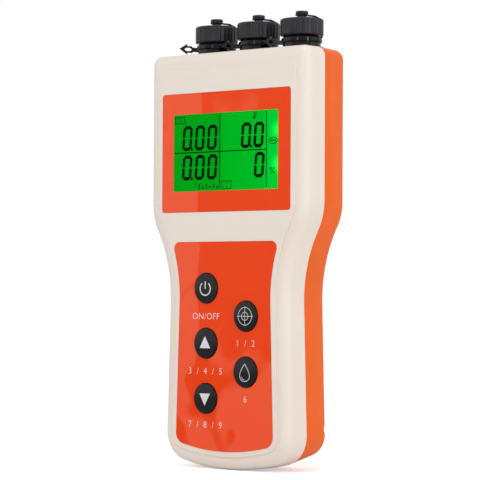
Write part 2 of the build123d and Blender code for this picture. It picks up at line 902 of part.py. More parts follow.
def standing_plane(x, angle):
    """The upright plane through one socket's axis, turned by an angle from +X."""
    turn = math.radians(angle)
    out = (math.cos(turn), math.sin(turn), 0)
    across = (math.sin(turn), -math.cos(turn), 0)
    return Plane((x, front_y + socket_depth, 0), x_dir=out, z_dir=across)


def pull_tab(x, z, start):
    """The arrow-shaped end of the tether, with an eye through it."""
    tip = start + tab_length
    barb = tip - tab_head
    eye_start = barb - tab_eye_lead
    upper = [(start, tab_neck_half), (eye_start - tab_slope, tab_neck_half)]
    upper += [(eye_start, tab_eye_half), (barb, tab_eye_half), (barb, tab_half_height)]
    lower = [(r, -h) for r, h in reversed(upper)]
    sheet = make_face(Polyline(*upper, (tip, 0), *lower, close=True).edges())
    sheet -= Pos(barb - tab_slope, 0) * SlotOverall(tab_eye_length, tab_eye_width)
    sheet = Pos(0, z) * sheet
    return extrude(standing_plane(x, tab_angle) * sheet, amount=tab_thickness / 2, both=True)


def save(name, solids):
    """Write one node, as one solid or several that never touch."""
    if isinstance(solids, list):
        solids = Compound(children=[s.solid() for s in solids])
    else:
        solids = solids.solid()
    export_step(solids, os.path.join("parts", name + ".step"))


def write_case():
    """The two halves, their seal, overlays and screws."""
    save("front_shell", front_shell())
    save("rear_shell", rear_shell())
    save("case_gasket", case_gasket())
    save("display_overlay", display_overlay())
    save("keypad_overlay", keypad_overlay())
    save("case_screws", case_screws())


def write_electronics():
    """The display stack, the board and what is on it."""
    save("display_window", display_window())
    save("display_glass", display_glass())
    save("display_backlight", display_backlight())
    save("display_holder", display_holder())
    save("contact_strips", contact_strips())
    save("main_board", main_board())
    save("board_parts", board_parts())
    save("board_screws", board_screws())


def write_keys():
    """The five keys with their plungers, and the switch housings."""
    save("key_switches", [key_switch(x, z) for x, z in key_places().values()])
    for name, (x, z) in key_places().items():
        save("key_" + name, key_cap(x, z))
        save("plunger_" + name, switch_plunger(x, z))


def write_battery():
    """The cells, their contacts and the door."""
    save("cells", [cell(x, up) for x, up in cell_places()])
    save("battery_plates", battery_plates())
    save("battery_springs", [leaf_spring(x, up) for x, up in cell_places()])
    save("battery_door", battery_door())


def write_sockets():
    """The three probe sockets with their caps, knobs and tethers."""
    places = socket_places()
    save("flange_gaskets", [flange_gasket_ring(x) for x in places.values()])
    save("receptacle_nuts", [receptacle_nut(x) for x in places.values()])
    for name, x in places.items():
        save("receptacle_" + name, receptacle(x))
        save("contact_insert_" + name, contact_insert(x))
        save("contact_sleeves_" + name, contact_sleeves(x))
        save("cap_" + name, screw_cap(x))
        save("cap_seal_" + name, cap_seal_ring(x))
        save("cap_knob_" + name, cap_knob(x))
        save("tether_" + name, tether(x))


os.makedirs("parts", exist_ok=True)
write_case()
write_electronics()
write_keys()
write_battery()
write_sockets()
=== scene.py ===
import math
import bmesh
import bpy
import numpy as np
from mathutils import Euler, Matrix, Vector


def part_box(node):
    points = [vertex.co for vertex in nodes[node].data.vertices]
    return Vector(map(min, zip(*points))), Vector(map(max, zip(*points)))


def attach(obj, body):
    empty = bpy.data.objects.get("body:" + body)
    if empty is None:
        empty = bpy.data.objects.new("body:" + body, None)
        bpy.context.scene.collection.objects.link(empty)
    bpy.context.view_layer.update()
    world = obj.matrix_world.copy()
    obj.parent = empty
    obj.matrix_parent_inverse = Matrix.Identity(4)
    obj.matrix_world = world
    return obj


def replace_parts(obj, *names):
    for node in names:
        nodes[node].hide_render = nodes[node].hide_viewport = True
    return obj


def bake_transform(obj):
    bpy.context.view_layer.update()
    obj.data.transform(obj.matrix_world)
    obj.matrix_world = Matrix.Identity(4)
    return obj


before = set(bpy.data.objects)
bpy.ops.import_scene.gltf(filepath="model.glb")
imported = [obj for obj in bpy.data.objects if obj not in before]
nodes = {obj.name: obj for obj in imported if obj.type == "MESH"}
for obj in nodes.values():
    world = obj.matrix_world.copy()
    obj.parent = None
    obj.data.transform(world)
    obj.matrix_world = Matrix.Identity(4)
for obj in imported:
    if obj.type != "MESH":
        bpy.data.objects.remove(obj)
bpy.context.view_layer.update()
mm = 0.001

# A handheld water quality meter. X runs to the viewer's right, the face looks along -Y and Z is up.
# Sizes in the dictionaries are millimetres and angles are degrees.

# Helpers that build meshes from numpy arrays


def addObject(name, data):
    thing = bpy.data.objects.new(name, data)
    bpy.context.scene.collection.objects.link(thing)
    return thing


def newPiece(name, points, faces, body, slot, material, smooth=True):
    # points is an (n, 3) array in millimetres, faces a list of index arrays with 3 or 4 columns
    mesh = bpy.data.meshes.new(name)
    rows = [row for block in faces for row in np.asarray(block).tolist()]
    mesh.from_pydata((np.asarray(points) * mm).tolist(), [], rows)
    mesh.update()
    mesh.polygons.foreach_set("use_smooth", np.full(len(mesh.polygons), smooth))
    mesh.materials.append(material)
    piece = addObject(name, mesh)
    if body:
        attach(piece, body)
    return piece


def sharpen(piece, angle):
    # edges that turn by more than the angle stay crisp, the rest shade smoothly
    piece.data.set_sharp_from_angle(angle=math.radians(angle))
    return piece


def gridFaces(rows, columns, closeRows=False, closeColumns=False):
    # quads of a grid whose points are numbered row by row
    i = np.arange(rows if closeRows else rows - 1)[:, None]
    j = np.arange(columns if closeColumns else columns - 1)[None, :]
    a = i * columns + j
    b = i * columns + (j + 1) % columns
    c = ((i + 1) % rows) * columns + (j + 1) % columns
    d = ((i + 1) % rows) * columns + j
    return np.stack([a, b, c, d], axis=-1).reshape(-1, 4)


def joined(parts):
    # several (points, faces) pairs as one pair
    points, faces, start = [], [], 0
    for some, rows in parts:
        points.append(some)
        faces += [np.asarray(block) + start for block in rows]
        start += len(some)
    return np.concatenate(points), faces


def around(radius, heights, x, y):
    # profiles carried round an upright axis at (x, y), one row of radii for each step of the turn
    turn = np.linspace(0, 2 * math.pi, len(radius), endpoint=False)[:, None]
    heights = np.broadcast_to(heights, radius.shape)
    return np.stack([x + radius * np.cos(turn), y + radius * np.sin(turn), heights], axis=-1).reshape(-1, 3)


def turned(profile, x, y, steps=96, closed=True):
    # one profile of (radius, height) points all the way round the axis
    profile = np.asarray(profile, float)
    radius = np.broadcast_to(profile[:, 0], (steps, len(profile)))
    return around(radius, profile[:, 1], x, y), [gridFaces(steps, len(profile), True, closed)]


def solidTurned(profile, x, y, steps):
    # like turned, but the profile starts and ends on the axis, where single points close it
    profile = np.asarray(profile, float)
    body, sides = turned(profile[1:-1], x, y, steps, False)
    columns = len(profile) - 2
    points = np.concatenate([body, [[x, y, profile[0, 1]], [x, y, profile[-1, 1]]]])
    ring = np.arange(steps)
    here, following = ring * columns, (ring + 1) % steps * columns
    centre, last = np.full(steps, steps * columns), columns - 1
    low = np.stack([here, following, centre], axis=1)
    high = np.stack([centre + 1, here + last, following + last], axis=1)
    return points, sides + [low, high]


def arc(cx, cy, radius, start, end, steps):
    # points of a round corner
    t = np.radians(np.linspace(start, end, steps))
    return list(zip(cx + radius * np.cos(t), cy + radius * np.sin(t)))


def leftOf(line):
    # unit vectors at right angles to a flat line, one for each point
    along = np.gradient(line, axis=0)
    along /= np.linalg.norm(along, axis=1)[:, None]
    return np.stack([-along[:, 1], along[:, 0]], axis=1)


def loopFaces(rows, columns):
    # the faces of a tube whose rows are closed loops, and of its two ends
    first, last = np.arange(columns)[None, :], (rows - 1) * columns + np.arange(columns)[None, :]
    return gridFaces(rows, columns, False, True), first, last


def strip(line, widths, depth, lift=0.02, sink=0.1, across=3):
    # a flat mark in X and Z: a centreline with a width at each point, laid on the surface
    # y = depth(x, z), standing out by lift and reaching in by sink, closed all round
    line = np.asarray(line, float)
    widths = np.broadcast_to(np.asarray(widths, float), (len(line),))
    share = np.linspace(-0.5, 0.5, across)
    flat = line[:, None, :] + leftOf(line)[:, None, :] * (share[None, :, None] * widths[:, None, None])
    x, z = flat[..., 0], flat[..., 1]
    y = depth(x, z)
    front = np.stack([x, y - lift, z], axis=-1)
    back = np.stack([x, y + sink, z], axis=-1)[:, ::-1]
    loop = np.concatenate([front, back], axis=1)
    sides, first, last = loopFaces(*loop.shape[:2])
    return loop.reshape(-1, 3), [sides, first, last[:, ::-1]]


def ringLine(cx, cz, radius, start=0.0, end=360.0, steps=48):
    # centreline of an arc, from +X towards +Z
    return np.array(arc(cx, cz, radius, start, end, steps))


def straight(x0, z0, x1, z1, steps=2):
    t = np.linspace(0, 1, steps)[:, None]
    return np.array([[x0, z0]]) * (1 - t) + np.array([[x1, z1]]) * t


letters = {"offset": -0.012, "spacing": 1.08, "thick": 0.03}


def lettering(words, height, x, z, y):
    # plain characters as a mesh of a given height, centred on x and z
    curve = bpy.data.curves.new("words", "FONT")
    curve.body = words
    curve.resolution_u = 3
    curve.extrude = 0.5
    curve.offset = letters["offset"]
    curve.space_character = letters["spacing"]
    writer = addObject("words", curve)
    bpy.context.view_layer.update()
    graph = bpy.context.evaluated_depsgraph_get()
    mesh = bpy.data.meshes.new_from_object(writer.evaluated_get(graph))
    points = np.zeros(len(mesh.vertices) * 3)
    mesh.vertices.foreach_get("co", points)
    points = points.reshape(-1, 3)
    faces = [np.array([list(p.vertices)]) for p in mesh.polygons]
    bpy.data.objects.remove(writer)
    low, high = points.min(axis=0), points.max(axis=0)
    middle = (low + high) / 2
    size = high - low
    placed = np.empty_like(points)
    placed[:, 0] = x + (points[:, 0] - middle[0]) / size[1] * height
    placed[:, 1] = y - ((points[:, 2] - low[2]) / size[2] - 0.5) * letters["thick"]
    placed[:, 2] = z + (points[:, 1] - middle[1]) / size[1] * height
    return placed, faces


# Helpers that build shader nodes


def feed(tree, value, socket):
    # another node's output is linked to the socket, a plain value is set on it
    if isinstance(value, bpy.types.NodeSocket):
        tree.links.new(value, socket)
    else:
        socket.default_value = value


def calculate(tree, operation, *values):
    node = tree.nodes.new("ShaderNodeMath")
    node.operation = operation
    for value, socket in zip(values, node.inputs):
        feed(tree, value, socket)
    return node.outputs[0]


def ownPlace(tree):
    # the object's own coordinates, whole and split in three
    where = tree.nodes.new("ShaderNodeTexCoord").outputs["Object"]
    split = tree.nodes.new("ShaderNodeSeparateXYZ")
    tree.links.new(where, split.inputs["Vector"])
    return where, split.outputs


def addNoise(tree, scale, detail, distortion=0.0):
    # noise over the object's own coordinates
    noise = tree.nodes.new("ShaderNodeTexNoise")
    tree.links.new(ownPlace(tree)[0], noise.inputs["Vector"])
    feed(tree, scale, noise.inputs["Scale"])
    noise.inputs["Detail"].default_value = detail
    noise.inputs["Distortion"].default_value = distortion
    return noise.outputs["Fac"]


def addRange(tree, source, start, end, low=0.0, high=1.0, kind="LINEAR"):
    # what lies between start and end goes to between low and high
    node = tree.nodes.new("ShaderNodeMapRange")
    node.interpolation_type = kind
    values = {"Value": source, "From Min": start, "From Max": end, "To Min": low, "To Max": high}
    for label, value in values.items():
        feed(tree, value, node.inputs[label])
    return node.outputs["Result"]


def mixColours(tree, share, first, second):
    mix = tree.nodes.new("ShaderNodeMix")
    mix.data_type = "RGBA"
    feed(tree, share, mix.inputs["Factor"])
    feed(tree, first, mix.inputs["A"])
    feed(tree, second, mix.inputs["B"])
    return mix.outputs["Result"]


def group(name, inputs, output, kind):
    # a node group with numbers and colours going in and one value coming out
    tree = bpy.data.node_groups.new(name, "ShaderNodeTree")
    for label, value in inputs.items():
        given = "NodeSocketFloat" if isinstance(value, float) else "NodeSocketColor"
        socket = tree.interface.new_socket(name=label, in_out="INPUT", socket_type=given)
        socket.default_value = value
    tree.interface.new_socket(name=output, in_out="OUTPUT", socket_type=kind)
    return tree, tree.nodes.new("NodeGroupInput"), tree.nodes.new("NodeGroupOutput")


def makeToneGroup():
    # two colours mixed by soft cloudy noise, as moulded and printed surfaces vary
    inputs = {"Main": (0.5, 0.5, 0.5, 1), "Shade": (0.4, 0.4, 0.4, 1), "Scale": 60.0}
    tree, given, result = group("cloudyTone", inputs, "Color", "NodeSocketColor")
    share = addRange(tree, addNoise(tree, given.outputs["Scale"], 4.0), 0.35, 0.65)
    mixed = mixColours(tree, share, given.outputs["Main"], given.outputs["Shade"])
    tree.links.new(mixed, result.inputs["Color"])
    return tree


def makeGrainGroup():
    # a fine moulded grain over a long soft waviness, as one bump normal
    inputs = {"Grain Scale": 3000.0, "Grain Height": 0.1, "Wave Scale": 30.0, "Wave Height": 0.1}
    tree, given, result = group("mouldedGrain", inputs, "Normal", "NodeSocketVector")
    bumps = []
    for scale, height, distance, detail in (("Wave Scale", "Wave Height", 0.004, 1.0),
                                            ("Grain Scale", "Grain Height", 0.0002, 2.0)):
        bump = tree.nodes.new("ShaderNodeBump")
        bump.inputs["Distance"].default_value = distance
        tree.links.new(given.outputs[height], bump.inputs["Strength"])
        tree.links.new(addNoise(tree, given.outputs[scale], detail), bump.inputs["Height"])
        bumps.append(bump)
    tree.links.new(bumps[0].outputs["Normal"], bumps[1].inputs["Normal"])
    tree.links.new(bumps[1].outputs["Normal"], result.inputs["Normal"])
    return tree


def makeHandledGroup():
    # roughness that wanders between two values, as fingers and wiping leave it
    inputs = {"Low": 0.3, "High": 0.4, "Scale": 90.0}
    tree, given, result = group("handledGloss", inputs, "Roughness", "NodeSocketFloat")
    noise = addNoise(tree, given.outputs["Scale"], 3.0)
    spread = addRange(tree, noise, 0.3, 0.7, given.outputs["Low"], given.outputs["High"])
    tree.links.new(spread, result.inputs["Roughness"])
    return tree


toneGroup = makeToneGroup()
grainGroup = makeGrainGroup()
handledGroup = makeHandledGroup()


def place(tree, source, **values):
    # a node group in the tree; an underscore stands for the space in an input's name
    node = tree.nodes.new("ShaderNodeGroup")
    node.node_tree = source
    for label, value in values.items():
        node.inputs[label.replace("_", " ")].default_value = value
    return node


def newMaterial(name):
    material = bpy.data.materials.new(name)
    material.use_nodes = True
    return material, material.node_tree, material.node_tree.nodes["Principled BSDF"]


def cover(tree, colour, rough, patches, grain, wave):
    # the colour, a handled gloss and a grained surface go to the tree's shader
    shader = tree.nodes["Principled BSDF"]
    gloss = place(tree, handledGroup, Low=rough[0], High=rough[1], Scale=patches)
    surface = place(tree, grainGroup, Grain_Scale=grain[0], Grain_Height=grain[1],
                    Wave_Scale=wave[0], Wave_Height=wave[1])
    tree.links.new(colour, shader.inputs["Base Color"])
    tree.links.new(gloss.outputs["Roughness"], shader.inputs["Roughness"])
    tree.links.new(surface.outputs["Normal"], shader.inputs["Normal"])


def cloudy(tree, main, shade, scale):
    return place(tree, toneGroup, Main=(*main, 1), Shade=(*shade, 1), Scale=scale).outputs["Color"]


glossPatches = 1.7


def finish(name, main, shade, rough, tone=60.0, grain=(3000.0, 0.1), wave=(30.0, 0.0), **plain):
    # one finished surface, with plain values for other sockets of its shader
    material, tree, shader = newMaterial(name)
    cover(tree, cloudy(tree, main, shade, tone), rough, tone * glossPatches, grain, wave)
    for label, value in plain.items():
        shader.inputs[label.replace("_", " ")].default_value = value
    return material


# Materials, named after the record's slots

print("materials")

materials = {
    "case_ivory": finish("caseIvory", (0.75, 0.675, 0.605), (0.73, 0.650, 0.575), (0.42, 0.52),
                         tone=25.0, grain=(2600.0, 0.08), wave=(18.0, 0.01)),
    "case_orange": finish("caseOrange", (0.80, 0.120, 0.006), (0.77, 0.112, 0.005), (0.36, 0.46),
                          tone=30.0, grain=(2600.0, 0.1), wave=(18.0, 0.01), Specular_IOR_Level=0.14),
    "key_black": finish("keyBlack", (0.003, 0.003, 0.0035), (0.006, 0.0055, 0.006), (0.10, 0.17),
                        tone=160.0, grain=(2500.0, 0.03), wave=(60.0, 0.03), Specular_IOR_Level=0.18),
    "neck_black": finish("neckBlack", (0.0025, 0.0025, 0.004), (0.004, 0.004, 0.006), (0.08, 0.12),
                         tone=160.0, grain=(3000.0, 0.04), wave=(60.0, 0.03), Specular_IOR_Level=0.2),
    "socket_black": finish("socketBlack", (0.0075, 0.0070, 0.0112), (0.0125, 0.0118, 0.0178), (0.30, 0.42),
                           tone=200.0, grain=(3500.0, 0.12), wave=(60.0, 0.02), Specular_IOR_Level=0.28),
    "inner_black": finish("innerBlack", (0.04, 0.04, 0.042), (0.03, 0.03, 0.03), (0.45, 0.6), tone=120.0),
    "seal_rubber": finish("sealRubber", (0.018, 0.018, 0.019), (0.030, 0.030, 0.031), (0.55, 0.7),
                          tone=250.0, grain=(2800.0, 0.2)),
    "strip_rubber": finish("stripRubber", (0.45, 0.10, 0.26), (0.38, 0.08, 0.2), (0.5, 0.65), tone=300.0),
    "light_guide": finish("lightGuide", (0.62, 0.86, 0.66), (0.55, 0.8, 0.6), (0.2, 0.3), tone=80.0,
                          grain=(900.0, 0.15)),
    "board_green": finish("boardGreen", (0.02, 0.16, 0.06), (0.03, 0.21, 0.08), (0.3, 0.42), tone=260.0,
                          grain=(1400.0, 0.12)),
    "contact_brass": finish("contactBrass", (0.80, 0.60, 0.26), (0.70, 0.50, 0.20), (0.22, 0.34),
                            tone=400.0, grain=(1800.0, 0.06), Metallic=1.0),
    "screw_steel": finish("screwSteel", (0.60, 0.60, 0.61), (0.48, 0.48, 0.50), (0.28, 0.42),
                          tone=400.0, grain=(1800.0, 0.08), Metallic=1.0),
    "contact_steel": finish("contactSteel", (0.68, 0.67, 0.64), (0.56, 0.55, 0.53), (0.22, 0.34),
                            tone=300.0, grain=(1800.0, 0.05), Metallic=1.0),
    "cell_jacket": finish("cellJacket", (0.03, 0.10, 0.30), (0.02, 0.07, 0.24), (0.18, 0.28), tone=120.0,
                          grain=(1200.0, 0.03)),
    "ink_white": finish("inkWhite", (0.74, 0.69, 0.68), (0.66, 0.60, 0.60), (0.3, 0.42), tone=600.0),
    "ink_key": finish("inkKey", (0.66, 0.66, 0.68), (0.58, 0.58, 0.60), (0.3, 0.4), tone=600.0),
    "display_ink": finish("displayInk", (0.002, 0.012, 0.002), (0.003, 0.020, 0.003), (0.3, 0.4), tone=300.0,
                          Specular_IOR_Level=0.0),
}


def makeClear():
    # the clear pane: see-through, with a faintly uneven surface
    material, tree, shader = newMaterial("windowClear")
    tint = cloudy(tree, (0.95, 0.98, 0.96), (0.92, 0.97, 0.94), 40.0)
    cover(tree, tint, (0.03, 0.08), 80.0, (1500.0, 0.01), (30.0, 0.02))
    shader.inputs["Transmission Weight"].default_value = 1.0
    shader.inputs["IOR"].default_value = 1.49
    return material


display = {"left": -28.95, "right": 28.95, "top": 151.3, "bottom": 118.2, "front": -15.6, "back": -14.45,
           "corner": 0.4, "bevel": 0.08, "bevelShare": 0.997}
glow = {"cloud": 70.0, "waver": 0.06, "spots": (142.6, 128.6), "spotReach": 5.5,
        "spotColour": (0.01, 1.0, 0.08, 1),
        "stops": [(0.0, (0.0, 0.25, 0.003, 1)), (0.46, (0.0, 0.27, 0.006, 1)), (0.53, (0.0, 0.35, 0.009, 1)),
                  (0.88, (0.0, 0.40, 0.014, 1)), (0.92, (0.0, 0.48, 0.028, 1)), (1.0, (0.0, 0.52, 0.034, 1))]}


def makeDisplayGreen():
    # green that grows brighter from left to right, with two lamp spots at the right edge
    material, tree, shader = newMaterial("displayGreen")
    add, link = tree.nodes.new, tree.links.new
    where, parts = ownPlace(tree)
    across = addRange(tree, parts["X"], display["left"] * mm, display["right"] * mm)
    noise = addNoise(tree, glow["cloud"], 2.0)
    waver = calculate(tree, "MULTIPLY_ADD", noise, glow["waver"], across)
    ramp = add("ShaderNodeValToRGB")
    stops, elements = glow["stops"], ramp.color_ramp.elements
    elements[0].color, elements[1].color = stops[0][1], stops[-1][1]
    for position, colour in stops[1:-1]:
        elements.new(position).color = colour
    link(waver, ramp.inputs["Fac"])
    green = ramp.outputs["Color"]
    for z in glow["spots"]:
        spot = add("ShaderNodeVectorMath")
        spot.operation = "DISTANCE"
        spot.inputs[1].default_value = (display["right"] * mm, display["front"] * mm, z * mm)
        link(where, spot.inputs[0])
        fall = addRange(tree, spot.outputs["Value"], 0.0, glow["spotReach"] * mm, 1.0, 0.0, "SMOOTHSTEP")
        green = mixColours(tree, fall, green, glow["spotColour"])
    link(cloudy(tree, (0.0, 0.10, 0.006), (0.0, 0.09, 0.005), 60.0), shader.inputs["Base Color"])
    link(green, shader.inputs["Emission Color"])
    shader.inputs["Emission Strength"].default_value = 1.0
    shader.inputs["Roughness"].default_value = 0.35
    shader.inputs["Specular IOR Level"].default_value = 0.0
    return material


# the film's own deep orange, and a paler colour painted over it in cloudy patches as reflection
film = {"main": (0.76, 0.047, 0.001), "light": (0.80, 0.088, 0.030), "scale": 34.0, "detail": 1.5,
        "distortion": 0.6, "leftStart": -11.0, "leftEnd": -17.0, "lowStart": 76.0, "lowEnd": 32.0,
        "reflectionBias": 0.29, "reflectionStart": 0.66, "reflectionEnd": 0.72}


def makeFilm():
    # glossy printed film: deep orange with paler cloudy patches of painted reflection, more of them low down
    # and to the left
    material, tree, shader = newMaterial("filmOrange")
    parts = ownPlace(tree)[1]
    slopes = []
    for axis, side in (("X", "left"), ("Z", "low")):
        start, end = film[side + "Start"] * mm, film[side + "End"] * mm
        slopes.append(addRange(tree, parts[axis], start, end, kind="SMOOTHSTEP"))
    reflectionBias = calculate(tree, "MULTIPLY", calculate(tree, "MAXIMUM", *slopes), film["reflectionBias"])
    reflectionClouds = calculate(tree, "ADD", addNoise(tree, film["scale"], film["detail"], film["distortion"]), reflectionBias)
    paintedReflection = addRange(tree, reflectionClouds, film["reflectionStart"], film["reflectionEnd"], kind="SMOOTHSTEP")
    colour = mixColours(tree, paintedReflection, (*film["main"], 1), (*film["light"], 1))
    cover(tree, colour, (0.10, 0.16), 90.0, (1500.0, 0.01), (45.0, 0.12))
    shader.inputs["Specular IOR Level"].default_value = 0.1
    return material


materials["film_orange"] = makeFilm()
materials["window_clear"] = makeClear()
materials["display_green"] = makeDisplayGreen()

keyNames = ["power", "up", "down", "target", "drop"]
socketNames = ["left", "middle", "right"]
slotMembers = {
    "case_ivory": ["front_shell"],
    "case_orange": ["rear_shell", "battery_door"],
    "film_orange": ["display_overlay", "keypad_overlay"],
    "window_clear": ["display_window"],
    "display_green": ["display_glass"],
    "light_guide": ["display_backlight"],
    "key_black": ["key_" + key for key in keyNames],
    "inner_black": ["display_holder", "board_parts", "key_switches"] + ["plunger_" + key for key in keyNames],
    "seal_rubber": ["case_gasket", "flange_gaskets"] + ["cap_seal_" + name for name in socketNames],
    "strip_rubber": ["contact_strips"],
    "board_green": ["main_board"],
    "contact_brass": ["receptacle_nuts"] + ["contact_sleeves_" + name for name in socketNames],
    "screw_steel": ["board_screws", "case_screws"],
    "contact_steel": ["battery_plates", "battery_springs"],
    "cell_jacket": ["cells"],
}
slotOf = {member: slotName for slotName, members in slotMembers.items() for member in members}
for name, node in nodes.items():
    node.data.materials.clear()
    node.data.materials.append(materials[slotOf.get(name, "socket_black")])

# The rear half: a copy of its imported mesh, with tighter back edges and rounder upper corners

print("rear half")

rear = {"taper": 10.9, "packedRound": 7.5, "round": 4.4, "corner": 4.3, "square": 28.0, "full": 35.0,
        "fine": 0.8, "cuts": 8, "smooth": 30.0, "regionLow": 171.5, "regionDeep": 6.5, "weld": 0.001,
        "touch": 0.0001, "near": 0.01, "spare": 0.02, "tilt": 0.02, "level": 0.99, "plane": 0.9999,
        "flat": 0.002, "flatWeight": 100}


def outerSkin(start):
    # every face reached from the start face over edges that turn by less than the smooth angle
    limit = math.radians(rear["smooth"])
    found, waiting = {start}, [start]
    while waiting:
        for edge in waiting.pop().edges:
            if len(edge.link_faces) == 2 and edge.calc_face_angle(0.0) < limit:
                fresh = [face for face in edge.link_faces if face not in found]
                found.update(fresh)
                waiting += fresh
    return found


def tightenEdges(skin, back):
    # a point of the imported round-over keeps its place seen from behind, and its depth becomes that of
    # the smaller round-over in the same corner: level, then an arc, then the tapered side
    slope = math.radians(rear["taper"])
    packed, wanted = rear["packedRound"] * mm, rear["round"] * mm
    share = (1 - math.sin(slope)) / math.cos(slope)
    deepest = packed * (1 - math.sin(slope)) + rear["spare"] * mm
    rounded = [face for face in skin if face.normal.y > math.sin(slope) + rear["tilt"]]
    for vertex in {vertex for face in rounded for vertex in face.verts}:
        packedDepth = back - vertex.co.y
        if rear["touch"] * mm < packedDepth < deepest:
            inwards = packed * share - math.sqrt(max(packed ** 2 - (packed - packedDepth) ** 2, 0.0))
            beyond = max(wanted * share - inwards, 0.0)
            depth = wanted - math.sqrt(max(wanted ** 2 - beyond ** 2, 0.0))
            if beyond > wanted * math.cos(slope):
                depth = -inwards / math.tan(slope)
            vertex.co.y = back - depth


def sideDistance(x, y, half, seam, back):
    # seen from above: how far inside the rounded side and back a point is, and which way is out
    slope, radius = math.radians(rear["taper"]), rear["round"] * mm
    normal = Vector((math.cos(slope), math.sin(slope)))
    away = Vector((x - half + (radius + (back - radius - seam) * normal.y) / normal.x, y - back + radius))
    if away.x > 0 and normal.x * away.y > normal.y * away.x:
        return radius - away.length, away.normalized()
    side = (half - x) * normal.x - (y - seam) * normal.y
    return (side, normal) if side < back - y else (back - y, Vector((0, 1)))


def roundUpperCorners(vertices, high, seam):
    # the edge between the top and the side rolls over, less and less towards the middle of the back
    for vertex in vertices:
        x, y, z = vertex.co
        share = min(max((abs(x) / mm - rear["square"]) / (rear["full"] - rear["square"]), 0.0), 1.0)
        radius = rear["corner"] * mm * share * share * (3 - 2 * share)
        drop = high.z - z
        inside, out = sideDistance(abs(x), y, high.x, seam, high.y)
        over, beyond = max(radius - drop, 0.0), max(radius - inside, 0.0)
        reach = math.hypot(over, beyond)
        if reach > radius > 0:
            spare = 1 - radius / reach
            vertex.co.z -= over * spare
            vertex.co.y -= out.y * beyond * spare
            vertex.co.x -= math.copysign(out.x * beyond * spare, x)


def isCornerEdge(edge, high):
    # true for an edge beside an upper back corner
    a, b = [vertex.co for vertex in edge.verts]
    return (max(abs(a.x), abs(b.x)) > rear["square"] * mm and max(a.z, b.z) > rear["regionLow"] * mm
            and max(a.y, b.y) > high.y - rear["regionDeep"] * mm)


def makeRear():
    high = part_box("rear_shell")[1]
    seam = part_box("front_shell")[1].y
    shell = bmesh.new()
    shell.from_mesh(nodes["rear_shell"].data)
    bmesh.ops.remove_doubles(shell, verts=shell.verts, dist=rear["weld"] * mm)
    level = [face for face in shell.faces
             if face.normal.y > rear["level"] and face.calc_center_median().y > high.y - rear["near"] * mm]
    skin = outerSkin(max(level, key=lambda face: face.calc_area()))
    for face in shell.faces:
        face.material_index = int(face in skin)
    tightenEdges(skin, high.y)
    for _ in range(rear["cuts"]):
        long = {edge for face in shell.faces if face.material_index for edge in face.edges
                if isCornerEdge(edge, high) and edge.calc_length() > rear["fine"] * mm}
        if not long:
            break
        bmesh.ops.subdivide_edges(shell, edges=list(long), cuts=1, use_grid_fill=True)
        bmesh.ops.triangulate(shell, faces=[face for face in shell.faces if len(face.verts) > 4])
    outside = [face for face in shell.faces if face.material_index]
    roundUpperCorners({vertex for face in outside for vertex in face.verts}, high, seam)
    lean = math.sin(math.radians(rear["taper"]))
    for face in shell.faces:
        side = abs(face.normal.y - lean) < rear["flat"] and abs(face.normal.z) < rear["flat"]
        face.smooth = not (side or max(face.normal.y, face.normal.z) > rear["plane"])
        face.material_index = 0
    mesh = bpy.data.meshes.new("rear_case")
    shell.to_mesh(mesh)
    shell.free()
    mesh.materials.append(materials["case_orange"])
    piece = addObject("rear_case", mesh)
    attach(piece, "meter")
    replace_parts(sharpen(piece, rear["smooth"]), "rear_shell")
    shade = piece.modifiers.new("flatShading", "WEIGHTED_NORMAL")
    shade.weight = rear["flatWeight"]
    shade.keep_sharp = True
    print("rear faces", len(mesh.polygons))


makeRear()

# Camera

print("camera")

cameraView = {"place": (602.84, -723.84, 75.3), "tilt": 91.35, "turn": 40.0, "roll": 0.291, "lens": 165.0,
              "sensor": 36.0, "clipStart": 10.0, "clipEnd": 200000.0}
lens = bpy.data.cameras.new("camera")
lens.lens, lens.sensor_width = cameraView["lens"], cameraView["sensor"]
lens.clip_start, lens.clip_end = cameraView["clipStart"] * mm, cameraView["clipEnd"] * mm
eye = addObject("camera", lens)
turn = Euler((math.radians(cameraView["tilt"]), 0, math.radians(cameraView["turn"])), "XYZ")
roll = Matrix.Rotation(math.radians(cameraView["roll"]), 4, "Z")
eye.matrix_world = Matrix.Translation(Vector(cameraView["place"]) * mm) @ turn.to_matrix().to_4x4() @ roll
bpy.context.scene.camera = eye

# The display's picture: a lit plate and its dark marks, flush in the film's opening

print("display")

zero = {"wide": 5.45, "high": 10.75, "lean": 0.078, "shift": 0.4, "stroke": 1.5, "gap": 0.1, "tip": 0.4,
        "point": 0.62, "segments": [(0, 0, 1, 0), (1, 0, 1, 1), (1, 1, 1, 2), (0, 2, 1, 2), (0, 1, 0, 2),
                                    (0, 0, 0, 1)]}

# places are to the right of the display's left edge and down from its top edge
marks = {"zeros": [(5.1, 4.95), (12.2, 4.95), (19.1, 4.95), (37.9, 4.85), (44.8, 4.85), (5.0, 17.55),
                   (12.2, 17.55), (19.2, 17.55), (45.1, 17.45)],
         "points": [(10.35, 15.1), (43.3, 14.95), (10.4, 27.75)], "pointHalf": 0.62, "pointHigh": 1.15,
         "rules": [(26.0, 0.9, 26.0, 32.4), (51.6, 0.6, 51.6, 32.4), (0.5, 16.5, 51.6, 16.45)], "rule": 0.45,
         "frames": [(0.75, 1.0, 6.35, 3.95), (27.25, 29.0, 32.5, 32.6)], "frame": 0.3,
         "numbers": [("1", 1.9, 3.55, 2.48), ("2", 2.2, 29.9, 30.8)]}
ticks = {"x": 14.6, "z": 32.2, "count": 6, "pitch": 2.0, "tall": 2.1, "short": 1.3, "stroke": 0.55}
thermometer = {"x": 45.0, "z": 2.0, "low": 0.6, "high": 1.45, "stroke": 0.5, "bulbDrop": 1.0, "bulb": 0.3,
               "bulbStroke": 0.6, "rungs": 3, "rungLeft": 0.55, "rungRight": 1.35, "rungTop": 1.2,
               "rungPitch": 0.7, "rungStroke": 0.3}
